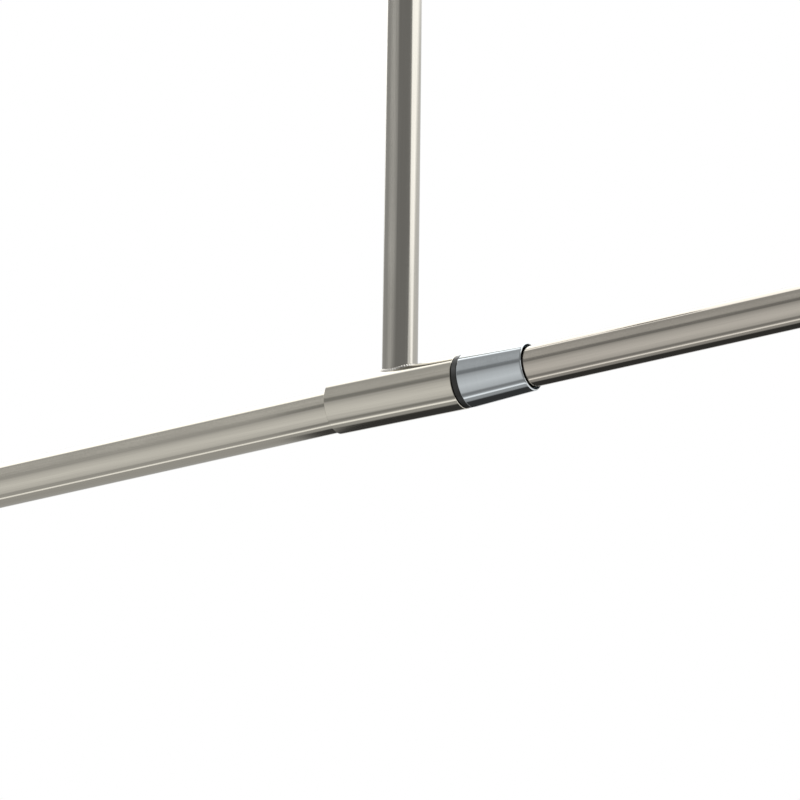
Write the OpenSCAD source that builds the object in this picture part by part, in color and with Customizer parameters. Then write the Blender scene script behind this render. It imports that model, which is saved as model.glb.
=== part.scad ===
// Telescoping tension rod for a shower, carried near its middle by a tee sleeve on a ceiling hanger.
// Origin: centre of the ceiling flange's top face. +Z is up and +X runs along the rod to the screw-out foot.

/* [Installation] */
// Clear width between the two walls that the rod presses on
wall_gap = 914.4; // [860:0.1:960]
// Distance from the ceiling face to the rod's axis
drop = 457.2; // [300:0.1:610]
// Distance from the left wall to the vertical line through the ceiling flange
left_reach = 464; // [430:1:500]

/* [Tubes] */
// Outside diameter of the outer tube
outer_od = 31.75; // [31:0.05:32]
// Wall of the outer tube
outer_wall = 1.0; // [0.8:0.05:1.2]
// Radial gap between the outer tube's bore and the inner tube
tube_gap = 0.375; // [0.3:0.005:0.6]
// Wall of the inner tube
inner_wall = 1.0; // [0.8:0.05:1.6]
// Length of the inner tube that stays inside the outer tube at rest
overlap = 150; // [110:1:180]

/* [Tee sleeve] */
// Outside diameter of the tee sleeve
tee_od = 38.1; // [37.8:0.05:41]
// Wall of the tee sleeve
tee_wall = 0.9; // [0.7:0.05:1.1]
// Length of the tee sleeve
tee_len = 101.6; // [80:0.1:130]
// Width of the black flange that shows between the sleeve and the lock nut
bush_flange_w = 4.0; // [2.5:0.1:6]
// Length of the bush's spigot inside the sleeve
spigot_len = 8; // [4:0.5:16]

/* [Hanger tube] */
// Outside diameter of the hanger tube
hanger_od = 25.4; // [19:0.1:27]
// Wall of the hanger tube
hanger_wall = 1.2; // [0.8:0.05:2]
// Leg length of the weld round the hanger tube's foot
weld_leg = 2.2; // [1.2:0.1:3.5]

/* [Lock nut and collet] */
// Length of the tapered lock nut
nut_len = 50; // [46:0.5:60]
// Outside diameter at the nut's narrow end
nut_small_od = 34.0; // [33.8:0.1:35]
// Wall at the nut's narrow mouth
nut_lip = 1.0; // [0.7:0.05:1.3]
// Distance from the nut's narrow mouth back to its inner shoulder
mouth_depth = 11; // [8:0.5:12]
// Thickness of the nut's inner shoulder
shoulder_w = 2.5; // [1.5:0.1:4]
// Length of the collet's threaded stretch
collet_thread_len = 18; // [14:0.5:20]
// Radial height that the collet's thread stands above the outer tube
collet_wall = 1.4; // [1.2:0.05:1.5]
// Number of spring fingers
finger_count = 6; // [4:1:8]
// Width of the slots between the fingers
finger_slot = 1.6; // [1:0.1:2.5]
// Thickness of the slip ring's web, between the fingers and the nut's shoulder
ring_web = 4; // [2:0.1:5]

/* [End feet] */
// Outside diameter of the end cups
cup_od = 48; // [44:0.5:56]
// Sheet thickness of the end cups
cup_wall = 1.2; // [0.8:0.1:2]
// Length of the cups' neck
neck_len = 12; // [8:0.5:18]
// Thickness of the rubber pads
pad_thick = 8; // [7:0.1:10]
// Length of rubber that stands proud of the cup's rim
pad_proud = 2.5; // [1:0.1:3.5]
// Depth that the end plugs reach into the tubes
plug_len = 25; // [25:1:35]
// Thickness of the end plugs' lip, outside the tubes
plug_lip = 2; // [1:0.1:3]
// Diameter of the stud and journal that the cups turn on
stud_d = 8; // [6:0.1:9]
// Diameter of the heads that hold the cups
stud_head_d = 14; // [12:0.5:16]

/* [Screw-out foot] */
// Diameter of the foot screw
screw_d = 12; // [10:0.5:14]
// Length of screw that shows between the wheel and the socket at rest
screw_shown = 12; // [11.5:0.5:16]
// Length of screw that stands past the threaded insert inside the tube
screw_spare = 34; // [30:1:60]
// Diameter of the knurled wheel
wheel_d = 34; // [30:0.5:40]
// Width of the knurled wheel
wheel_w = 12; // [8:0.5:16]
// Number of grip flutes round the wheel
wheel_flutes = 24; // [12:1:36]
// Outside diameter of the brass insert
insert_od = 18; // [16:0.5:20]
// Length of the brass insert
insert_len = 16; // [10:0.5:20]
// Thickness of the thrust washer
washer_t = 1.0; // [0.5:0.1:2]

/* [Ceiling flange] */
// Diameter of the ceiling plate
plate_d = 76; // [68:0.5:80]
// Thickness of the ceiling plate
plate_t = 4; // [3:0.1:6]
// Wall of the socket that the grub screws are tapped through
socket_wall = 4.5; // [3.5:0.1:5]
// Depth of the socket below the plate
socket_len = 26; // [18:0.5:30]
// Diameter of the circle through the screw holes
hole_circle = 56; // [54:0.5:58]
// Diameter of the screw holes
hole_d = 5.5; // [4:0.1:6]
// Number of screw holes
hole_count = 3; // [3:1:4]
// Diameter of the grub screws
grub_d = 5; // [4:0.5:6]
// Number of grub screws
grub_count = 3; // [2:1:3]

/* [Ceiling cover] */
// Diameter of the cover's rim
cover_d = 90; // [86:0.5:100]
// Length that the cover reaches below the flange's socket
cover_over = 18; // [17:0.5:30]
// Thickness of the cover's metal
cover_wall = 1.0; // [0.7:0.05:1.5]
// Height of the straight rim against the ceiling
cover_rim_h = 4; // [2:0.5:6]
// Section diameter of the rubber ring in the cover's neck
ring_section = 2.4; // [2:0.1:2.6]

/* [Hidden] */
// Radial clearance of a running fit
run_fit = 0.06;
// Radial clearance between parts that only pass each other
pass_fit = 0.35;
// Gap between faces of different bodies that meet
face_gap = 0.2;
// Edge break on cut tubes and thin rims
edge = 0.25;
// Chamfer on moulded and turned ends
chamfer = 1;
// Length added to a cut so that it runs clear of the faces it leaves
past = 1;

outer_r = outer_od / 2;
outer_bore_r = outer_r - outer_wall;
inner_r = outer_bore_r - tube_gap;
inner_bore_r = inner_r - inner_wall;
tee_r = tee_od / 2;
tee_bore_r = tee_r - tee_wall;
hanger_r = hanger_od / 2;

// The rod lies on the bottom of the sleeve's left mouth and is centred in its right mouth,
// so sleeve and hanger lean a little, and the hanger tube takes up the lean in its loose socket.
tee_lean = asin((tee_bore_r - outer_r - face_gap) / tee_len);
rod_z = -drop;
tee_z = rod_z + tee_len / 2 * sin(tee_lean);
socket_mid = -plate_t - socket_len / 2;
function lean_x(z) = (z - socket_mid) * tan(tee_lean);
tee_x = lean_x(tee_z);
mouth_x = tee_x + tee_len / 2 * cos(tee_lean) + tee_r * sin(tee_lean);

// Stations along the rod, from the sleeve's right mouth to the nut's narrow end
flange_x = mouth_x + face_gap;
nut_x = flange_x + bush_flange_w + face_gap;
finger_x = nut_x + collet_thread_len;
nut_end = nut_x + nut_len;
shoulder_x = nut_end - mouth_depth - shoulder_w;
finger_end = shoulder_x - ring_web - 2 * face_gap;
tube_stop = finger_x - 2;

// Stations at the two feet
left_wall = -left_reach;
right_wall = left_wall + wall_gap;
web_end = pad_thick + cup_wall;
neck_end = web_end + neck_len;
outer_start = left_wall + web_end + face_gap + plug_lip;
wheel_x = right_wall - neck_end - face_gap - wheel_w;
inner_end = wheel_x - screw_shown - plug_lip;
inner_start = tube_stop - overlap;
insert_x = inner_end - 4 - insert_len;
screw_start = insert_x - screw_spare;
washer_x = right_wall - web_end - face_gap - washer_t;

// Radii of collet, slip ring and nut follow from the tubes, from the inside out
thread_r = outer_r + collet_wall;
finger_root_r = inner_r + 1.7;
finger_tip_r = inner_r + 0.7;
ring_r = finger_tip_r + 1.1;
nut_cone_r = ring_r + pass_fit;
nut_big_r = tee_r - 0.05;
nut_small_r = nut_small_od / 2;

$fn = 96;

// A solid turned about the rod's axis: each point is [station along the rod, radius]
module turned(points)
    translate([0, 0, rod_z])
        rotate([0, 90, 0])
            rotate_extrude()
                polygon([for (p = points) [p[1], p[0]]]);

// A solid turned about the rod's axis and built up from a wall: each point is [radius, height off the wall]
module off_wall(wall, side, points)
    translate([wall, 0, rod_z])
        rotate([0, 90 * side, 0])
            rotate_extrude()
                polygon(points);

// Profile of a cut tube with its edges broken
function tube_profile(from, to, r, bore) = [
    [from, bore + edge], [from, r - edge], [from + edge, r], [to - edge, r],
    [to, r - edge], [to, bore + edge], [to - edge, bore], [from + edge, bore]
];

// The frame of the welded unit: its centre is the sleeve's middle and its Z the hanger's axis
module on_tee() translate([tee_x, 0, tee_z]) rotate([0, tee_lean, 0]) children();

module tee_cylinder(r, len) rotate([0, 90, 0]) cylinder(h = len, r = r, center = true);

module around(count) for (i = [0:count - 1]) rotate([0, 0, i * 360 / count]) children();

module tee_sleeve() {
    profile = tube_profile(-tee_len / 2, tee_len / 2, tee_r, tee_bore_r);
    color([0.72, 0.70, 0.66])
        on_tee()
            rotate([0, 90, 0])
                rotate_extrude()
                    polygon([for (p = profile) [p[1], p[0]]]);
}

// Level cut 1 mm under the plate, and a saddle cut that sits on the sleeve
hanger_len = (-plate_t - 1 - tee_z) / cos(tee_lean) - hanger_r * tan(tee_lean);

module hanger_tube()
    color([0.55, 0.53, 0.49])
        on_tee()
            difference() {
                cylinder(h = hanger_len, r = hanger_r);
                translate([0, 0, -past]) cylinder(h = hanger_len + 2 * past, r = hanger_r - hanger_wall);
                tee_cylinder(tee_r, tee_len + past);
            }

// The bead is what the two tubes, grown by the weld's leg, share outside the tubes themselves
module weld_bead()
    color([0.78, 0.77, 0.74])
        on_tee()
            difference() {
                intersection() {
                    cylinder(h = tee_od, r = hanger_r + weld_leg);
                    tee_cylinder(tee_r + weld_leg, tee_len);
                }
                translate([0, 0, -past]) cylinder(h = tee_od + 2 * past, r = hanger_r);
                tee_cylinder(tee_r, tee_len + past);
            }

// The socket is bored wide enough for the leaning tube
socket_bore_r = hanger_r + pass_fit + socket_len / 2 * tan(tee_lean);
socket_r = socket_bore_r + socket_wall;
socket_foot = -plate_t - socket_len;
socket_fillet = 2;
grub_z = -plate_t - socket_len * 0.62;
countersink_d = hole_d * 1.8;
countersink_h = (countersink_d - hole_d) / 2;

module ceiling_flange()
    color([0.66, 0.65, 0.62])
        difference() {
            rotate_extrude()
                polygon([
                    [0, 0], [plate_d / 2 - edge, 0], [plate_d / 2, -edge],
                    [plate_d / 2, edge - plate_t], [plate_d / 2 - edge, -plate_t],
                    [socket_r + socket_fillet, -plate_t], [socket_r, -plate_t - socket_fillet],
                    [socket_r, socket_foot + edge], [socket_r - edge, socket_foot],
                    [socket_bore_r, socket_foot], [socket_bore_r, -plate_t], [0, -plate_t]
                ]);
            around(hole_count)
                translate([hole_circle / 2, 0, -plate_t]) {
                    translate([0, 0, -past]) cylinder(h = plate_t + 2 * past, d = hole_d);
                    cylinder(h = countersink_h, d1 = countersink_d, d2 = hole_d);
                }
            around(grub_count)
                translate([socket_bore_r - past, 0, grub_z])
                    rotate([0, 90, 0]) cylinder(h = socket_wall + 2 * past, d = grub_d);
        }

// Hexagon-socket grub screws, each turned in until its cone point meets the leaning tube
grub_point_h = 1;
grub_hex_depth = 2.4;

module flange_grub_screws()
    color([0.25, 0.25, 0.26])
        for (i = [0:grub_count - 1])
            let (
                turn = i * 360 / grub_count,
                reach = hanger_r + lean_x(grub_z) * cos(turn) + face_gap / 2,
                body_len = socket_r - reach - grub_point_h - edge
            )
                rotate([0, 0, turn])
                    translate([reach, 0, grub_z])
                        rotate([0, 90, 0])
                            difference() {
                                union() {
                                    cylinder(h = grub_point_h, d1 = grub_d * 0.6, d2 = grub_d - run_fit);
                                    translate([0, 0, grub_point_h])
                                        cylinder(h = body_len, d = grub_d - run_fit);
                                }
                                translate([0, 0, grub_point_h + body_len - grub_hex_depth])
                                    cylinder(h = grub_hex_depth + past, d = grub_d * 0.55, $fn = 6);
                            }

// The cover hangs level, centred where the leaning tube passes through the rubber ring in its neck
cover_h = plate_t + socket_len + cover_over;
neck_h = 3 * ring_section;
ring_mid_r = hanger_r + run_fit + ring_section / 2;
cover_bore_r = ring_mid_r + ring_section * 0.1;
cover_neck_r = ring_mid_r + ring_section / 2 + cover_wall;
groove_half = ring_section / 2 + edge / 2;
ring_up = neck_h / 2;
ring_z = -face_gap - cover_h + ring_up;
cover_x = lean_x(ring_z);
ogee_steps = 12;

// The ogee from rim to neck, drawn in by a distance: [radius, height] from the rim down
function ogee(inset) =
    let (rim_r = cover_d / 2 - inset, neck_r = cover_neck_r - inset)
        [for (i = [0:ogee_steps]) [
            (rim_r + neck_r) / 2 + (rim_r - neck_r) / 2 * cos(180 * i / ogee_steps),
            inset - cover_rim_h - (cover_h - cover_rim_h - neck_h) * i / ogee_steps
        ]];

function reversed(points) = [for (i = [len(points) - 1:-1:0]) points[i]];

module flange_cover()
    color([0.70, 0.68, 0.64])
        translate([cover_x, 0, -face_gap])
            rotate_extrude()
                polygon(concat(
                    [[cover_d / 2 - cover_wall, 0], [cover_d / 2, 0]],
                    ogee(0),
                    [
                        [cover_neck_r, edge - cover_h], [cover_neck_r - edge, -cover_h],
                        [cover_bore_r, -cover_h], [cover_bore_r, ring_up - groove_half - cover_h],
                        [ring_mid_r + ring_section / 2, ring_up - groove_half - cover_h],
                        [ring_mid_r + ring_section / 2, ring_up + groove_half - cover_h],
                        [cover_bore_r, ring_up + groove_half - cover_h],
                        [cover_bore_r, neck_h - cover_h]
                    ],
                    reversed(ogee(cover_wall))
                ));

module cover_ring()
    color([0.08, 0.08, 0.08])
        translate([cover_x, 0, ring_z])
            rotate_extrude()
                translate([ring_mid_r, 0]) circle(d = ring_section, $fn = 32);

// Flanged bush: its spigot centres the rod in the sleeve's leaning right mouth
bush_r = tee_r - 0.3;
bush_bore_r = outer_r + run_fit;
spigot_r = tee_bore_r - pass_fit - spigot_len * sin(tee_lean);
bush_end = flange_x + bush_flange_w;

module sleeve_bush()
    color([0.17, 0.17, 0.15])
        turned([
            [flange_x - spigot_len, bush_bore_r], [flange_x - spigot_len, spigot_r - edge],
            [flange_x - spigot_len + edge, spigot_r], [flange_x, spigot_r],
            [flange_x, bush_r - edge], [flange_x + edge, bush_r], [bush_end - edge, bush_r],
            [bush_end, bush_r - edge], [bush_end, bush_bore_r]
        ]);

module outer_tube()
    color([0.72, 0.70, 0.66]) turned(tube_profile(outer_start, tube_stop, outer_r, outer_bore_r));

module inner_tube()
    color([0.70, 0.67, 0.61]) turned(tube_profile(inner_start, inner_end, inner_r, inner_bore_r));

// One moulding on the outer tube's end: a threaded body and tapered, slotted fingers on the inner tube
module collet()
    color([0.12, 0.12, 0.11])
        difference() {
            turned([
                [nut_x, outer_r], [nut_x, thread_r - chamfer], [nut_x + chamfer, thread_r],
                [finger_x - chamfer, thread_r], [finger_x, finger_root_r],
                [finger_end - chamfer, finger_tip_r], [finger_end, finger_tip_r - 0.4],
                [finger_end, inner_r + run_fit], [tube_stop + face_gap / 2, inner_r + run_fit],
                [tube_stop + face_gap / 2, outer_r]
            ]);
            for (i = [0:finger_count - 1])
                translate([finger_x + chamfer, 0, rod_z])
                    rotate([i * 360 / finger_count, 0, 0])
                        translate([0, -finger_slot / 2, inner_r / 2])
                            cube([finger_end - finger_x, finger_slot, inner_r]);
        }

// The slip ring presses on the fingers' taper while the nut turns behind it
ring_mouth_r = finger_tip_r + 0.3;

module slip_ring()
    color([0.85, 0.84, 0.80])
        turned([
            [finger_end - 2, ring_mouth_r], [finger_end - 2, ring_r],
            [shoulder_x - face_gap, ring_r], [shoulder_x - face_gap, inner_r + pass_fit],
            [finger_end + face_gap, inner_r + pass_fit], [finger_end + face_gap, ring_mouth_r]
        ]);

// Tapered nut: rolled edge at its narrow mouth, and a shoulder inside that drives the slip ring
lip_round = 1.2;

module lock_nut()
    color([0.72, 0.76, 0.79])
        turned([
            [nut_x, thread_r + run_fit + edge], [nut_x, nut_big_r - 0.6],
            [nut_x + 0.2, nut_big_r - 0.2], [nut_x + 0.6, nut_big_r],
            [nut_end - lip_round, nut_small_r], [nut_end - 0.6, nut_small_r - 0.1],
            [nut_end - 0.2, nut_small_r - 0.35], [nut_end, nut_small_r - 0.6],
            [nut_end, nut_small_r - nut_lip + 0.1], [nut_end - 0.3, nut_small_r - nut_lip],
            [nut_end - mouth_depth, nut_small_r - nut_lip],
            [nut_end - mouth_depth, inner_r + pass_fit], [shoulder_x, inner_r + pass_fit],
            [shoulder_x, nut_cone_r], [finger_x + chamfer, thread_r + run_fit],
            [nut_x + edge, thread_r + run_fit]
        ]);

// The guide ring runs in a groove between the plug's head and the end of the inner tube
guide_w = 6;
guide_head_w = 3;
groove_start = inner_start - guide_w - 2 * face_gap;
guide_hub_r = inner_bore_r - 2;
guide_hollow_r = inner_bore_r - 3;

module guide_plug()
    color([0.12, 0.12, 0.12])
        turned([
            [groove_start - guide_head_w, 0], [groove_start - guide_head_w, inner_r - chamfer - face_gap],
            [groove_start - guide_head_w + chamfer, inner_r - face_gap], [groove_start, inner_r - face_gap],
            [groove_start, guide_hub_r], [inner_start + edge, guide_hub_r],
            [inner_start + edge, inner_bore_r], [inner_start + plug_len - chamfer, inner_bore_r],
            [inner_start + plug_len, inner_bore_r - chamfer], [inner_start + plug_len, guide_hollow_r],
            [inner_start + guide_head_w, guide_hollow_r], [inner_start + guide_head_w, 0]
        ]);

// Split ring, sprung into the groove through its slot
guide_slot = 2;
guide_ring_r = outer_bore_r - run_fit;

module guide_ring()
    color([0.85, 0.84, 0.80])
        difference() {
            turned([
                [groove_start + face_gap, guide_hub_r + run_fit],
                [groove_start + face_gap, guide_ring_r - edge],
                [groove_start + face_gap + edge, guide_ring_r],
                [inner_start - face_gap - edge, guide_ring_r],
                [inner_start - face_gap, guide_ring_r - edge],
                [inner_start - face_gap, guide_hub_r + run_fit]
            ]);
            translate([groove_start - past, -guide_slot / 2, rod_z + guide_hub_r / 2])
                cube([guide_w + 2 * past, guide_slot, outer_r]);
        }

// A lipped plug in a tube's end: side is 1 where the tube lies towards +X and -1 towards -X
module end_plug(tube_end, side, tube_r, bore_r, hole_r)
    off_wall(tube_end, side, [
        [hole_r, -plug_lip], [tube_r - 0.6, -plug_lip], [tube_r, 0.6 - plug_lip],
        [tube_r, 0], [bore_r, 0], [bore_r, plug_len - chamfer],
        [bore_r - chamfer, plug_len], [hole_r, plug_len]
    ]);

module left_plug()
    color([0.15, 0.15, 0.15]) end_plug(outer_start, 1, outer_r, outer_bore_r, stud_d / 2);

// A headed stud: the cup turns on its shank, between the head and the plug
head_t = 3;
stud_r = stud_d / 2;
head_r = stud_head_d / 2;
head_top = pad_thick - face_gap;

module left_stud()
    color([0.75, 0.75, 0.74])
        off_wall(left_wall, 1, [
            [0, head_top - head_t], [head_r - chamfer, head_top - head_t],
            [head_r, head_top - head_t + chamfer], [head_r, head_top], [stud_r, head_top],
            [stud_r, web_end + plug_len - chamfer], [stud_r - chamfer, web_end + plug_len],
            [0, web_end + plug_len]
        ]);

// End cup: a rim round the rubber, a web with a hole for its stud, and a neck over the tube
cup_r = cup_od / 2;
neck_r = outer_r + pass_fit;
cup_round = 2;

module cup(wall, side)
    off_wall(wall, side, [
        [stud_r + run_fit, pad_thick], [cup_r - cup_wall, pad_thick], [cup_r - cup_wall, pad_proud],
        [cup_r - edge, pad_proud], [cup_r, pad_proud + edge], [cup_r, web_end - cup_round],
        [cup_r - cup_round * 0.3, web_end - cup_round * 0.3], [cup_r - cup_round, web_end],
        [neck_r + cup_wall + cup_round, web_end],
        [neck_r + cup_wall + cup_round * 0.3, web_end + cup_round * 0.3],
        [neck_r + cup_wall, web_end + cup_round],
        [neck_r + cup_wall, neck_end - edge], [neck_r + cup_wall - edge, neck_end],
        [neck_r, neck_end], [neck_r, web_end], [stud_r + run_fit, web_end]
    ]);

module left_cup() color([0.70, 0.68, 0.64]) cup(left_wall, 1);
module right_cup() color([0.70, 0.68, 0.64]) cup(right_wall, -1);

// Rubber pad with two ring grooves in its wall face and a blind well over the head behind it
groove_w = 2.4;
groove_h = 1.2;
groove_bevel = 0.6;
pad_grooves = [12.2, 17.2];
pad_r = cup_r - cup_wall - 0.05;
well_r = head_r + 1;
well_h = head_top - head_t - 1.5;

module pad(wall, side)
    off_wall(wall, side, concat(
        [[0, 0]],
        [for (r = pad_grooves) for (p = [
            [-groove_w / 2, 0], [groove_bevel - groove_w / 2, groove_h],
            [groove_w / 2 - groove_bevel, groove_h], [groove_w / 2, 0]
        ]) [r + p[0], p[1]]],
        [
            [pad_r - chamfer, 0], [pad_r, chamfer], [pad_r, pad_thick],
            [well_r, pad_thick], [well_r, well_h], [0, well_h]
        ]
    ));

module left_pad() color([0.10, 0.10, 0.10]) pad(left_wall, 1);
module right_pad() color([0.10, 0.10, 0.10]) pad(right_wall, -1);

screw_r = screw_d / 2;

module foot_socket()
    color([0.15, 0.15, 0.15])
        difference() {
            end_plug(inner_end, -1, inner_r, inner_bore_r, screw_r + pass_fit);
            translate([insert_x, 0, rod_z]) rotate([0, 90, 0]) cylinder(h = insert_len, d = insert_od);
        }

module threaded_insert()
    color([0.78, 0.62, 0.30])
        turned([
            [insert_x, screw_r + run_fit], [insert_x, insert_od / 2],
            [insert_x + insert_len, insert_od / 2], [insert_x + insert_len, screw_r + run_fit]
        ]);

module thrust_washer()
    color([0.85, 0.84, 0.80])
        turned([
            [washer_x, stud_r + run_fit], [washer_x, screw_r + 2],
            [washer_x + washer_t, screw_r + 2], [washer_x + washer_t, stud_r + run_fit]
        ]);

// Threaded from its bevelled tip to the wheel, then a journal and a head that hold the cup
module foot_screw()
    color([0.74, 0.74, 0.73])
        turned([
            [screw_start, 0], [screw_start, screw_r - chamfer], [screw_start + chamfer, screw_r],
            [washer_x - face_gap, screw_r], [washer_x - face_gap, stud_r],
            [right_wall - head_top, stud_r], [right_wall - head_top, head_r],
            [right_wall - head_top + head_t - chamfer, head_r],
            [right_wall - head_top + head_t, head_r - chamfer],
            [right_wall - head_top + head_t, 0]
        ]);

flute_r = 1.4;
flute_depth = 0.9;

module adjuster()
    color([0.12, 0.12, 0.12])
        difference() {
            turned([
                [wheel_x, screw_r], [wheel_x, wheel_d / 2 - chamfer], [wheel_x + chamfer, wheel_d / 2],
                [wheel_x + wheel_w - chamfer, wheel_d / 2],
                [wheel_x + wheel_w, wheel_d / 2 - chamfer], [wheel_x + wheel_w, screw_r]
            ]);
            for (i = [0:wheel_flutes - 1])
                translate([wheel_x - past, 0, rod_z])
                    rotate([i * 360 / wheel_flutes, 0, 0])
                        translate([0, 0, wheel_d / 2 + flute_r - flute_depth])
                            rotate([0, 90, 0]) cylinder(h = wheel_w + 2 * past, r = flute_r, $fn = 24);
        }

ceiling_flange();
flange_grub_screws();
flange_cover();
cover_ring();
hanger_tube();
weld_bead();
tee_sleeve();
sleeve_bush();
outer_tube();
collet();
left_plug();
left_stud();
left_cup();
left_pad();
slip_ring();
lock_nut();
inner_tube();
guide_plug();
guide_ring();
foot_socket();
threaded_insert();
thrust_washer();
foot_screw();
adjuster();
right_cup();
right_pad();
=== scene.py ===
import math

import bpy
import numpy as np
from mathutils import Matrix, Vector


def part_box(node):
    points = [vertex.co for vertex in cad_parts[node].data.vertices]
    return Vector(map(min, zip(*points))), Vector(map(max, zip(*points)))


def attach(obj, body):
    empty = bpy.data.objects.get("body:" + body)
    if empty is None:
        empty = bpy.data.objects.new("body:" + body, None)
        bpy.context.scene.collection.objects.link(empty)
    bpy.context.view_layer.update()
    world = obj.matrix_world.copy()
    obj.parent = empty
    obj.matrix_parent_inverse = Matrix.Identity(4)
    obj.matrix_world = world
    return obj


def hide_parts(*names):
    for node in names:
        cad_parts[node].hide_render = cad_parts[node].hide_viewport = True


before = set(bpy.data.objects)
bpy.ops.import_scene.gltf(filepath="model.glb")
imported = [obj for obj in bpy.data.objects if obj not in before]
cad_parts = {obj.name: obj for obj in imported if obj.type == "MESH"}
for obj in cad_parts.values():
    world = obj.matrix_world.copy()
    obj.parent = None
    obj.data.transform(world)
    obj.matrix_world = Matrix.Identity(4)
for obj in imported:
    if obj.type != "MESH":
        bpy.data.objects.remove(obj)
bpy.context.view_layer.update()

# Ceiling flange: a turned mild steel plate with a socket for the hanger tube, satin zinc plated.
# Three countersunk holes take the ceiling screws. The cover hides it, so only its lathe marks
# and the dull plating show when the cover is slid down.
AXIS_UP = (0.0, math.radians(-90), 0.0)
PLATING = (0.62, 0.61, 0.59)


class Value:
    """A node socket in a shader's maths: an operator on it adds a Math node."""

    def __init__(self, tree, socket=None):
        self.tree = tree
        self.socket = socket

    def node(self, kind, settings=None, sockets=None, output=0):
        """Adds a node of a type: its settings first, then the values or links of its sockets."""
        made = self.tree.nodes.new(kind)
        for name, value in (settings or {}).items():
            if name == "stops":
                stops = made.color_ramp.elements
                while len(stops) < len(value):
                    stops.new(1.0)
                for stop, (position, colour) in zip(stops, value):
                    stop.position = position
                    stop.color = (*colour, 1.0)
            else:
                setattr(made, name, value)
        for name, value in (sockets or {}).items():
            if isinstance(value, Value):
                self.tree.links.new(value.socket, made.inputs[name])
            else:
                made.inputs[name].default_value = value
        return Value(self.tree, made.outputs[output])

    def maths(self, operation, first, second=0.0):
        return self.node("ShaderNodeMath", {"operation": operation}, {0: first, 1: second})

    def __add__(self, other):
        return self.maths("ADD", self, other)

    def __sub__(self, other):
        return self.maths("SUBTRACT", self, other)

    def __rsub__(self, other):
        return self.maths("SUBTRACT", other, self)

    def __mul__(self, other):
        return self.maths("MULTIPLY", self, other)

    def __truediv__(self, other):
        return self.maths("DIVIDE", self, other)

    __radd__ = __add__
    __rmul__ = __mul__


def start_finish(name, metallic, roughness, coat=0.0):
    """A new material: returns it, its shader node and the piece's own coordinates."""
    material = bpy.data.materials.new(name)
    material.use_nodes = True
    shader = material.node_tree.nodes["Principled BSDF"]
    shader.inputs["Metallic"].default_value = metallic
    shader.inputs["Roughness"].default_value = roughness
    shader.inputs["Coat Weight"].default_value = coat
    place = Value(material.node_tree).node("ShaderNodeTexCoord", output="Object")
    return material, shader, place


def cloud(place, size, turn=(0.0, 0.0, 0.0), centre=(0.0, 0.0, 0.0), detail=2.0):
    """Noise whose grains have a size in metres along each axis, turned and centred on a piece."""
    mapped = place.node("ShaderNodeMapping", {"vector_type": "TEXTURE"},
                        {"Vector": place, "Location": centre, "Rotation": turn, "Scale": size})
    return place.node("ShaderNodeTexNoise", {}, {"Vector": mapped, "Scale": 1.0, "Detail": detail})


def between(first, second, share):
    """A colour that goes from the first to the second with a share from 0 to 1."""
    return share.node("ShaderNodeMix", {"data_type": "RGBA"},
                      {0: share, 6: (*first, 1.0), 7: (*second, 1.0)}, output=2)


def feed(shader, **links):
    """Links values to the shader's sockets, named with _ for a space."""
    for name, value in links.items():
        value.tree.links.new(value.socket, shader.inputs[name.replace("_", " ")])


def bumped(height, depth):
    """The normal of a surface whose height, from 0 to 1, stands for a depth in metres."""
    return height.node("ShaderNodeBump", {}, {"Height": height, "Distance": depth, "Strength": 1.0},
                       output="Normal")


def shaded(colour, factor):
    """A colour made lighter or darker, never past white."""
    return tuple(min(1.0, c * factor) for c in colour)


def lathe_finish(name, colour, roughness, turn=(0.0, 0.0, 0.0), centre=(0.0, 0.0, 0.0), mark=0.0004,
                 depth=0.000004, contrast=1.0):
    """Turned metal: fine rings round the piece's axis, from its distance along and off the axis."""
    material, shader, place = start_finish(name, 1.0, roughness)
    mapped = place.node("ShaderNodeMapping", {"vector_type": "TEXTURE"},
                        {"Vector": place, "Location": centre, "Rotation": turn})
    along = mapped.node("ShaderNodeSeparateXYZ", {}, {0: mapped}, output="X")
    off_axis = mapped.node("ShaderNodeVectorMath", {"operation": "MULTIPLY"},
                           {0: mapped, 1: (0.0, 1.0, 1.0)})
    radius = off_axis.node("ShaderNodeVectorMath", {"operation": "LENGTH"}, {0: off_axis},
                           output="Value")
    ring_place = along.node("ShaderNodeCombineXYZ", {}, {0: along, 1: radius})
    rings = cloud(ring_place, (mark, mark, 1.0), detail=3.0)
    smudge = cloud(place, (0.02, 0.02, 0.02))
    feed(shader, Base_Color=between(shaded(colour, 1 - 0.14 * contrast),
                                    shaded(colour, 1 + 0.08 * contrast), rings),
         Roughness=roughness * (1.0 + (rings - 0.5) * 0.6 + (smudge - 0.5) * 0.6),
         Normal=bumped(rings, depth))
    return material


def dress(name, material):
    """Gives a CAD node its finish."""
    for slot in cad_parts[name].material_slots:
        slot.material = material


dress("ceiling_flange", lathe_finish("flange plating", PLATING, 0.36, turn=AXIS_UP))

# Three M5 grub screws clamp the hanger tube in the flange's socket: alloy steel with a black
# oxide finish, turned in with a hexagon key. They are hidden under the cover.
material, shader, place = start_finish("black oxide", 0.6, 0.4)
oxide = cloud(place, (0.0012, 0.0012, 0.0012), detail=3.0)
feed(shader, Base_Color=between((0.035, 0.035, 0.038), (0.10, 0.10, 0.11), oxide),
     Roughness=0.34 + oxide * 0.14, Normal=bumped(oxide, 0.00001))
dress("flange_grub_screws", material)

# Hanger tube: 25.4 mm welded stainless tube, belt-brushed along its length, cut level at the top
# and with a saddle cut at its foot. It leans 1.17 degrees, because the tee sleeve that it is
# welded on carries the rod low at one end and centred at the other.
TEE_LENGTH = 0.1016
TEE_BORE_R = 0.01815
ROD_R = 0.015875
MOUTH_GAP = 0.0002
LEAN = math.asin((TEE_BORE_R - ROD_R - MOUTH_GAP) / TEE_LENGTH)
HANGER_TURN = (0.0, LEAN - math.radians(90), 0.0)


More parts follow.
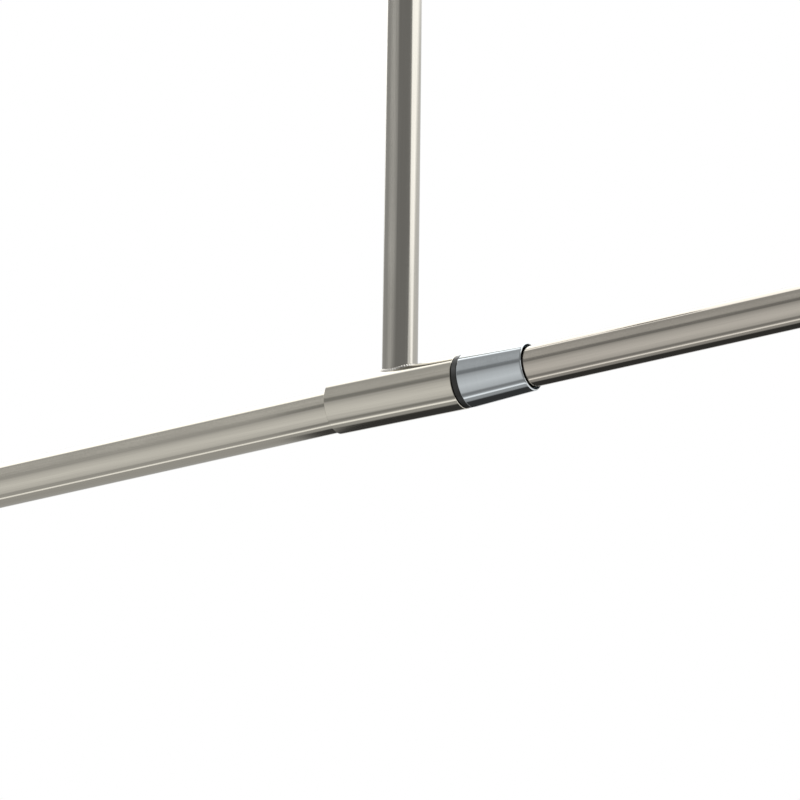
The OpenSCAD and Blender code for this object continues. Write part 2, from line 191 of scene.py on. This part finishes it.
def brushed_finish(name, colour, roughness, turn=(0.0, 0.0, 0.0), depth=0.000005):
    """Belt-brushed tube: scratches 1 mm wide and 80 mm long on broader streaks and faint smudges."""
    material, shader, place = start_finish(name, 1.0, roughness)
    scratch = cloud(place, (0.08, 0.0009, 0.0009), turn, detail=3.0)
    streak = cloud(place, (0.30, 0.005, 0.005), turn)
    smudge = cloud(place, (0.05, 0.02, 0.02), turn)
    grain = scratch * 0.6 + streak * 0.4
    feed(shader, Base_Color=between(shaded(colour, 0.84), shaded(colour, 1.14), grain),
         Roughness=roughness * (1.0 + (grain - 0.5) * 0.9 + (smudge - 0.5) * 0.6),
         Normal=bumped(scratch, depth))
    return material


dress("hanger_tube", brushed_finish("brushed hanger", (0.52, 0.50, 0.45), 0.13, HANGER_TURN))

# Tee sleeve: a 101.6 mm length of 38.1 mm stainless tube with a 0.9 mm wall, cut square and
# brushed along its length. The rod passes through it.
tee_low, tee_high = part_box("tee_sleeve")
tee_centre = (Vector(tee_low) + Vector(tee_high)) / 2
TUBE_STEEL = (0.66, 0.628, 0.547)
dress("tee_sleeve", brushed_finish("brushed sleeve", TUBE_STEEL, 0.08, (0.0, LEAN, 0.0)))

# Weld bead: a fillet weld run once round the hanger's foot, on the saddle where it meets the
# sleeve. Each ripple is one freezing step of the pool, left bright by brushing.
TEE_R = 0.01905
HANGER_R = 0.0127
WELD_LEG = 0.0015
ROOT = 0.0006
BEAD_AROUND = 460
BEAD_ACROSS = 9
RIPPLES = 46
RIPPLE_HEIGHT = 0.00016
CROWN = 0.00035


def mesh_piece(name, points, faces, material, body, crisp=180):
    """A new piece from an array of points and a list of faces, riding on a body. Edges that turn
    by more than an angle in degrees stay crisp."""
    mesh = bpy.data.meshes.new(name)
    mesh.from_pydata(points.reshape(-1, 3).tolist(), [], faces)
    mesh.shade_smooth()
    mesh.set_sharp_from_angle(angle=math.radians(crisp))
    mesh.update()
    piece = bpy.data.objects.new(name, mesh)
    bpy.context.scene.collection.objects.link(piece)
    mesh.materials.append(material)
    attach(piece, body)
    return piece


def ring_faces(rows, columns):
    """Quads of a grid that is closed both ways. They face the way that the rows' direction
    crossed with the columns' direction points to."""
    r, c = np.meshgrid(np.arange(rows), np.arange(columns), indexing="ij")
    r2, c2 = (r + 1) % rows, (c + 1) % columns
    return np.stack([r * columns + c, r2 * columns + c, r2 * columns + c2, r * columns + c2],
                    -1).reshape(-1, 4).tolist()


def weld_surface(around, across):
    """Bead round the hanger's foot, clockwise, in the sleeve's own frame. The saddle is the height
    of a cylinder of the sleeve's radius over each point, sqrt(R^2 - y^2). The section runs from a toe
    on the hanger to a toe on the sleeve, bulged by a half sine and by ripples that lag in the
    middle, then back as a straight root inside the two walls."""
    t = -np.linspace(0, 2 * np.pi, around, endpoint=False)[:, None]
    v = np.linspace(0, 1, across)[None, :]
    toe_up = np.sqrt(TEE_R ** 2 - (HANGER_R * np.sin(t)) ** 2)
    slope = np.abs(HANGER_R * np.sin(t) ** 2 / toe_up)
    reach = HANGER_R + WELD_LEG / np.sqrt(1 + slope ** 2)
    toe_out = np.sqrt(TEE_R ** 2 - (reach * np.sin(t)) ** 2)
    lag = 0.9 * np.sin(np.pi * v) ** 2
    wave = np.cos(RIPPLES * t + 2.4 * lag) + 0.35 * np.cos(7 * t + 1.0) + 0.25 * np.cos(3 * t)
    bulge = np.sin(np.pi * v) * (CROWN + RIPPLE_HEIGHT * wave)
    off = HANGER_R + (reach - HANGER_R) * v + bulge * 0.7
    up = (toe_up + WELD_LEG) * (1 - v) + toe_out * v + bulge * 0.7
    root_off = np.concatenate([reach - ROOT, 0 * t + HANGER_R - ROOT], 1)
    root_up = np.concatenate([toe_out - ROOT, toe_up], 1)
    off = np.concatenate([off, root_off], 1)
    up = np.concatenate([up, root_up], 1)
    return np.stack([off * np.cos(t), off * np.sin(t), up], -1)


bead_points = weld_surface(BEAD_AROUND, BEAD_ACROSS)
lean_turn = np.array(Matrix.Rotation(LEAN, 3, "Y"))
bead_points = bead_points @ lean_turn.T + np.array(tee_centre)
material, shader, place = start_finish("weld bead", 1.0, 0.22)
soot = cloud(place, (0.0011, 0.0011, 0.0011), detail=3.0)
heat = cloud(place, (0.006, 0.006, 0.003))
feed(shader, Base_Color=between((0.36, 0.34, 0.30), (0.82, 0.80, 0.76), heat * 0.5 + soot * 0.5),
     Roughness=0.12 + soot * 0.20, Normal=bumped(soot, 0.00004))
bead = mesh_piece("weld_ripples", bead_points, ring_faces(BEAD_AROUND, BEAD_ACROSS + 2), material,
                  "hanger")
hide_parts("weld_bead")

# Sleeve bush: a flanged nylon bush that centres the rod in the sleeve's right mouth and turns
# and slides on it. Its black flange shows as a ring between the sleeve and the lock nut.


def moulded_finish(name, colour, roughness=0.42, grain=0.0005, depth=0.00001):
    """Injection-moulded plastic: one colour with a fine spark-eroded grain and faint flow."""
    material, shader, place = start_finish(name, 0.0, roughness)
    pits = cloud(place, (grain, grain, grain), detail=2.0)
    flow = cloud(place, (0.03, 0.012, 0.012))
    feed(shader, Base_Color=between(shaded(colour, 0.82), shaded(colour, 1.15), flow),
         Roughness=roughness + (pits - 0.5) * 0.16 + (flow - 0.5) * 0.10,
         Normal=bumped(pits, depth))
    return material


black_moulding = moulded_finish("black nylon", (0.012, 0.012, 0.010), 0.34)
dress("sleeve_bush", black_moulding)

# Outer tube: 31.75 mm stainless tube with a 1 mm wall, brushed along its length. It stops inside
# the collet, and a plug closes its left end.
dress("outer_tube", brushed_finish("brushed outer tube", TUBE_STEEL, 0.09))

# Collet: a black nylon moulding on the outer tube's end, with a thread for the lock nut and six
# spring fingers that grip the inner tube.
dress("collet", black_moulding)

# Fixed foot: a black nylon plug in the tube, a plated steel stud that the cup turns on, a spun
# steel cup and a rubber pad against the wall. The cup and pad at the other end are the same.
dress("left_plug", black_moulding)
dress("left_stud", lathe_finish("plated stud", (0.70, 0.70, 0.69), 0.22))
ROD_Z = -0.4572
cup_finish = lathe_finish("spun cup", (0.70, 0.685, 0.65), 0.18, centre=(0.0, 0.0, ROD_Z), mark=0.0006)
material, shader, place = start_finish("grey-black rubber", 0.0, 0.72)
bloom = cloud(place, (0.010, 0.010, 0.010), detail=3.0)
pores = cloud(place, (0.0004, 0.0004, 0.0004))
feed(shader, Base_Color=between((0.016, 0.016, 0.016), (0.045, 0.045, 0.044), bloom),
     Roughness=0.62 + bloom * 0.2, Normal=bumped(pores, 0.00003))
for side in ("left", "right"):
    dress(side + "_cup", cup_finish)
    dress(side + "_pad", material)

# Slip ring: white acetal between the lock nut's shoulder and the fingers, so that the nut turns
# without twisting them. The guide ring and the thrust washer are of the same plastic.
white_moulding = moulded_finish("white acetal", (0.78, 0.77, 0.72), 0.35)
for name in ("slip_ring", "guide_ring", "thrust_washer"):
    dress(name, white_moulding)

# Lock nut: turned from steel, tapered towards the thin tube, polished and chromium plated.
dress("lock_nut", lathe_finish("chromium plate", (0.61, 0.65, 0.67), 0.07, centre=(0.0, 0.0, ROD_Z),
                               mark=0.0010, depth=0.0000003, contrast=0.25))

# Inner tube: 29 mm stainless tube, brushed along its length, that slides out of the outer tube.
dress("inner_tube", brushed_finish("brushed inner tube", (0.57, 0.53, 0.465), 0.08))

# Guide plug: black nylon, pressed in the inner tube's hidden end, with a groove for the guide
# ring. The foot socket at the other end is moulded of the same, round a brass insert.
for name in ("guide_plug", "foot_socket"):
    dress(name, black_moulding)
dress("threaded_insert", lathe_finish("turned brass", (0.78, 0.60, 0.28), 0.24, mark=0.0003))

# Foot screw: a 12 mm plated steel screw with a 2 mm rounded thread, a journal and a head that
# hold the right cup. It turns in the brass insert and presses the rod between the walls.
screw_low, screw_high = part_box("foot_screw")
SCREW_R = 0.006
PITCH = 0.002
THREAD_DEPTH = 0.0009
STUD_R = 0.004
HEAD_R = 0.007
HEAD_T = 0.003
AROUND = 48


def thread_surface(from_x, to_x, steps_a_turn, around):
    """Screw thread: the radius at a station and angle falls from the full radius by a depth
    times a flattened cosine of their phase, x / pitch - angle / turn, and fades out at the ends."""
    rows = int(round((to_x - from_x) / PITCH * steps_a_turn)) + 1
    x = np.linspace(from_x, to_x, rows)[:, None]
    t = np.linspace(0, 2 * np.pi, around, endpoint=False)[None, :]
    phase = x / PITCH - t / (2 * np.pi)
    groove = np.clip(0.5 - 0.85 * np.cos(2 * np.pi * phase), 0, 1)
    fade = np.clip((x - from_x) / 0.0015, 0, 1) * np.clip((to_x - x) / 0.0015, 0, 1)
    end = np.clip((x - from_x) / 0.0010, 0, 1)
    radius = (SCREW_R - 0.001 * (1 - end)) - THREAD_DEPTH * groove * fade
    return np.stack([x + 0 * t, radius * np.cos(t), ROD_Z + radius * np.sin(t)], -1)


def turned_rows(profile, around):
    """A profile of (station, radius) carried round the rod's axis."""
    profile = np.array(profile)
    t = np.linspace(0, 2 * np.pi, around, endpoint=False)[None, :]
    x, r = profile[:, :1], profile[:, 1:]
    return np.stack([x + 0 * t, r * np.cos(t), ROD_Z + r * np.sin(t)], -1)


def capped_faces(rows, columns):
    """Quads between rows of a tube, with a fan of one polygon at each end."""
    r, c = np.meshgrid(np.arange(rows - 1), np.arange(columns), indexing="ij")
    c2 = (c + 1) % columns
    quads = np.stack([r * columns + c, r * columns + c2, (r + 1) * columns + c2, (r + 1) * columns + c],
                     -1).reshape(-1, 4).tolist()
    first = list(range(columns))
    last = [(rows - 1) * columns + i for i in range(columns)]
    return quads + [first[::-1], last]


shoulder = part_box("thrust_washer")[0][0] - 0.0002
threaded = thread_surface(screw_low[0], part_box("adjuster")[0][0] + 0.001, 14, AROUND)
head_start = screw_high[0] - HEAD_T
rest = turned_rows([
    (threaded[-1, 0, 0] + 0.0002, SCREW_R), (shoulder - 0.0003, SCREW_R), (shoulder, SCREW_R - 0.0003),
    (shoulder, STUD_R), (head_start, STUD_R), (head_start, HEAD_R - 0.0002),
    (head_start + 0.0002, HEAD_R), (screw_high[0] - 0.001, HEAD_R), (screw_high[0], HEAD_R - 0.001)
], AROUND)
screw_points = np.concatenate([threaded, rest])
screw_finish = lathe_finish("plated screw", (0.68, 0.68, 0.67), 0.22, centre=(0.0, 0.0, ROD_Z),
                            mark=0.0003)
screw = mesh_piece("threaded_screw", screw_points, capped_faces(len(screw_points), AROUND),
                   screw_finish, "screw", 50)
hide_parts("foot_screw")

# Adjuster: a black nylon wheel with grip flutes, moulded on the screw.
dress("adjuster", moulded_finish("black wheel", (0.028, 0.028, 0.028), 0.46))

# Ceiling cover: spun from 1 mm stainless sheet to an ogee, brushed on the lathe. A rubber ring in
# its neck grips the hanger tube and lets it slide.
cover_low, cover_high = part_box("flange_cover")
COVER_R = 0.045
COVER_WALL = 0.001
RIM_H = 0.004
NECK_R = 0.01716
NECK_H = 0.0072


def cover_surface(around):
    """Spun cover: outside, a straight rim, then an ogee whose radius follows a half cosine down
    to the neck. Inside, the same curve drawn in by the wall, closed at the rim."""
    height = cover_high[2] - cover_low[2]
    s = np.linspace(0, 1, 49)

    def ogee(inset):
        rim, neck = COVER_R - inset, NECK_R - inset
        return np.stack([(rim + neck) / 2 + (rim - neck) / 2 * np.cos(np.pi * s),
                         inset - RIM_H - (height - RIM_H - NECK_H) * s], -1)

    lip = COVER_WALL / 2 * np.sin(np.linspace(0, np.pi, 7))[:, None]
    turn_in = COVER_R - COVER_WALL / 2 + COVER_WALL / 2 * np.cos(np.linspace(np.pi, 0, 7))[:, None]
    rim_edge = np.concatenate([turn_in, lip - COVER_WALL / 2], 1)
    bore = NECK_R - 0.00196
    neck = np.array([[NECK_R, 0.0004 - height], [NECK_R - 0.0002, 0.0001 - height],
                     [NECK_R - 0.0005, -height], [bore + 0.0003, -height], [bore, 0.0003 - height],
                     [bore, 0.0023 - height], [bore + 0.0010, 0.0023 - height],
                     [bore + 0.0010, 0.0049 - height], [bore, 0.0049 - height],
                     [bore, NECK_H - 0.0004 - height]])
    profile = np.concatenate([rim_edge, ogee(0.0), neck, ogee(COVER_WALL)[::-1]])
    t = np.linspace(0, 2 * np.pi, around, endpoint=False)[None, :]
    r, z = profile[:, :1], profile[:, 1:]
    centre_x = (cover_low[0] + cover_high[0]) / 2
    return np.stack([centre_x + r * np.cos(t), r * np.sin(t), cover_high[2] + z + 0 * t], -1)


cover_points = cover_surface(128)
cover_finish = lathe_finish("spun cover", (0.69, 0.675, 0.64), 0.19, turn=AXIS_UP, mark=0.0005)
cover = mesh_piece("spun_cover", cover_points, ring_faces(len(cover_points), 128), cover_finish,
                   "cover", 30)
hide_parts("flange_cover")
dress("cover_ring", moulded_finish("rubber ring", (0.022, 0.022, 0.022), 0.6))

# Studio: a pale floor under the object, a white surround, two soft lamps, and a light tent that
# only reflections see, so that the bright tubes show the bands of a plain room.
floor_mesh = bpy.data.meshes.new("studio_floor")
FLOOR_Z = -2.44
FLOOR_HALF = 20.0
floor_mesh.from_pydata([(-FLOOR_HALF, -FLOOR_HALF, FLOOR_Z), (FLOOR_HALF, -FLOOR_HALF, FLOOR_Z),
                        (FLOOR_HALF, FLOOR_HALF, FLOOR_Z), (-FLOOR_HALF, FLOOR_HALF, FLOOR_Z)],
                       [], [(0, 1, 2, 3)])
studio_floor = bpy.data.objects.new("studio_floor", floor_mesh)
bpy.context.scene.collection.objects.link(studio_floor)
material, shader, place = start_finish("pale floor", 0.0, 0.8)
feed(shader, Base_Color=between((0.86, 0.86, 0.86), (0.90, 0.90, 0.90), cloud(place, (0.8, 0.8, 0.8))))
floor_mesh.materials.append(material)

world = bpy.data.worlds.new("white surround")
world.use_nodes = True
bpy.context.scene.world = world
world.node_tree.nodes.clear()
surround = Value(world.node_tree)
seen_white = surround.node("ShaderNodeBackground", {}, {"Color": (1.0, 1.0, 1.0, 1.0), "Strength": 1.0})
soft_fill = surround.node("ShaderNodeBackground", {}, {"Color": (1.0, 1.0, 1.0, 1.0), "Strength": 0.5})
ray = surround.node("ShaderNodeLightPath", output="Is Camera Ray")
rays = ray.socket.node.outputs
mirror_ray = ray + Value(ray.tree, rays["Is Glossy Ray"]) + Value(ray.tree, rays["Is Transmission Ray"])
mixed = surround.node("ShaderNodeMixShader", {}, {0: mirror_ray, 1: soft_fill, 2: seen_white})
world_output = world.node_tree.nodes.new("ShaderNodeOutputWorld")
world.node_tree.links.new(mixed.socket, world_output.inputs["Surface"])

TENT_R = 1.2
TENT_LEFT = -1.5
TENT_RIGHT = 2.7


def tent_surface(rows, columns):
    """A tube round the rod's axis: angle from the front, through the top, to the front again."""
    angle = np.linspace(-np.pi, np.pi, rows)[:, None]
    x = np.linspace(TENT_LEFT, TENT_RIGHT, columns)[None, :]
    return np.stack([x + 0 * angle, -TENT_R * np.cos(angle) + 0 * x,
                     ROD_Z + TENT_R * np.sin(angle) + 0 * x], -1)


def sheet_faces(rows, columns):
    """Quads of an open grid."""
    r, c = np.meshgrid(np.arange(rows - 1), np.arange(columns - 1), indexing="ij")
    corner = r * columns + c
    return np.stack([corner, corner + 1, corner + columns + 1, corner + columns], -1).reshape(-1, 4)


def reflector(name, points, faces, material):
    """A card that only reflections see."""
    mesh = bpy.data.meshes.new(name)
    mesh.from_pydata(points.reshape(-1, 3).tolist(), [], faces.tolist())
    mesh.materials.append(material)
    card = bpy.data.objects.new(name, mesh)
    bpy.context.scene.collection.objects.link(card)
    card.visible_camera = False
    card.visible_diffuse = False
    card.visible_shadow = False
    card.visible_transmission = False
    return card


def glowing(name):
    """A material that only emits: returns it, its emission node and the card's coordinates."""
    material = bpy.data.materials.new(name)
    material.use_nodes = True
    nodes = material.node_tree.nodes
    nodes.clear()
    output = nodes.new("ShaderNodeOutputMaterial")
    glow = nodes.new("ShaderNodeEmission")
    material.node_tree.links.new(glow.outputs[0], output.inputs["Surface"])
    return material, glow, Value(material.node_tree).node("ShaderNodeTexCoord", output="Object")


def step_mask(value, start, end, top=1.0):
    """A smooth step from 0 at the start to its top at the end."""
    return value.node("ShaderNodeMapRange", {"interpolation_type": "SMOOTHSTEP"},
                      {"Value": value, "From Min": start, "From Max": end, "To Max": top})


# Half the brightness that each band of the tent has, against degrees up from the front. Right of
# the hanger its front is dark cloth and its floor is a bright card.
BANDS = [(-180, 0.022), (-124, 0.022), (-116, 0.20), (-102, 0.20), (-99, 0.62), (-95, 0.62),
         (-91, 0.24), (-84, 0.14), (-77, 0.14), (-70, 0.30), (-40, 0.39), (-12, 0.32), (5, 0.23),
         (11, 0.12), (22, 0.12), (29, 0.21), (78, 0.225), (86, 0.90), (132, 0.90), (142, 0.40),
         (180, 0.30)]
RIGHT_FRONT = 0.13
RIGHT_FLOOR = 0.50
tent_finish, glow, place = glowing("tent cloth")
split = place.node("ShaderNodeSeparateXYZ", {}, {0: place}, output="X")
axes = split.socket.node.outputs
tent_y, tent_z = Value(place.tree, axes["Y"]), Value(place.tree, axes["Z"])
degrees_up = place.maths("ARCTAN2", tent_z - ROD_Z, 0.0 - tent_y) * (180 / math.pi)
band = place.node("ShaderNodeValToRGB", {"stops": [((a + 180) / 360, (b, b, b)) for a, b in BANDS]},
                  {0: degrees_up / 360 + 0.5})
level = place.maths("MAXIMUM", place.node("ShaderNodeSeparateColor", {}, {0: band}),
                    step_mask(split, -0.69, -0.74, 0.21))
right_level = RIGHT_FRONT + step_mask(degrees_up, -95.0, -108.0, RIGHT_FLOOR - RIGHT_FRONT)
at_right = step_mask(split, -0.12, 0.02) * step_mask(degrees_up, 80.0, 60.0)
level = level + (right_level - level) * at_right
place.tree.links.new((level * 2.0).socket, glow.inputs["Strength"])
tent = reflector("light_tent", tent_surface(97, 15), sheet_faces(97, 15), tent_finish)

end_finish, glow, place = glowing("end card")
glow.inputs["Strength"].default_value = 0.42
end_rows = np.linspace(0, 1, 5)[:, None]
end_turn = np.linspace(-np.pi, np.pi, 49)[None, :]
end_points = np.stack([TENT_LEFT + 0 * end_rows * end_turn, -TENT_R * end_rows * np.cos(end_turn),
                       ROD_Z + TENT_R * end_rows * np.sin(end_turn)], -1)
end_card = reflector("end_card", end_points, sheet_faces(5, 49), end_finish)


def soft_lamp(name, place, size, watts):
    """A square soft lamp that looks at the middle of the object."""
    data = bpy.data.lights.new(name, "AREA")
    data.size = size
    data.energy = watts
    lamp = bpy.data.objects.new(name, data)
    bpy.context.scene.collection.objects.link(lamp)
    aim = Vector((0.0, 0.0, -0.3)) - Vector(place)
    lamp.matrix_world = Matrix.Translation(place) @ aim.to_track_quat("-Z", "Y").to_matrix().to_4x4()
    return lamp


soft_lamp("key_lamp", (-1.6, -2.0, 1.5), 2.0, 45)
soft_lamp("back_lamp", (1.8, 1.8, 1.8), 2.0, 25)

# Camera: a long lens below the rod and to its right, as the photograph was taken.
AZIMUTH = math.radians(29.248)
ELEVATION = math.radians(-22.791)
ROLL = math.radians(-0.386)
DISTANCE = 4.0
AIM = Vector((-0.008611, 0.0, -0.460073))
back = Vector((math.sin(AZIMUTH) * math.cos(ELEVATION), -math.cos(AZIMUTH) * math.cos(ELEVATION),
               math.sin(ELEVATION)))
level_right = Vector((math.cos(AZIMUTH), math.sin(AZIMUTH), 0.0))
level_up = back.cross(level_right)
right = level_right * math.cos(ROLL) + level_up * math.sin(ROLL)
up = level_up * math.cos(ROLL) - level_right * math.sin(ROLL)
camera_data = bpy.data.cameras.new("camera")
camera_data.sensor_width = 36.0
camera_data.lens = 255.65
camera_data.clip_end = 100.0
camera = bpy.data.objects.new("camera", camera_data)
bpy.context.scene.collection.objects.link(camera)
camera_axes = Matrix((right, up, back)).transposed().to_4x4()
camera.matrix_world = Matrix.Translation(AIM + back * DISTANCE) @ camera_axes
bpy.context.scene.camera = camera
bpy.context.scene.view_settings.view_transform = "Standard"
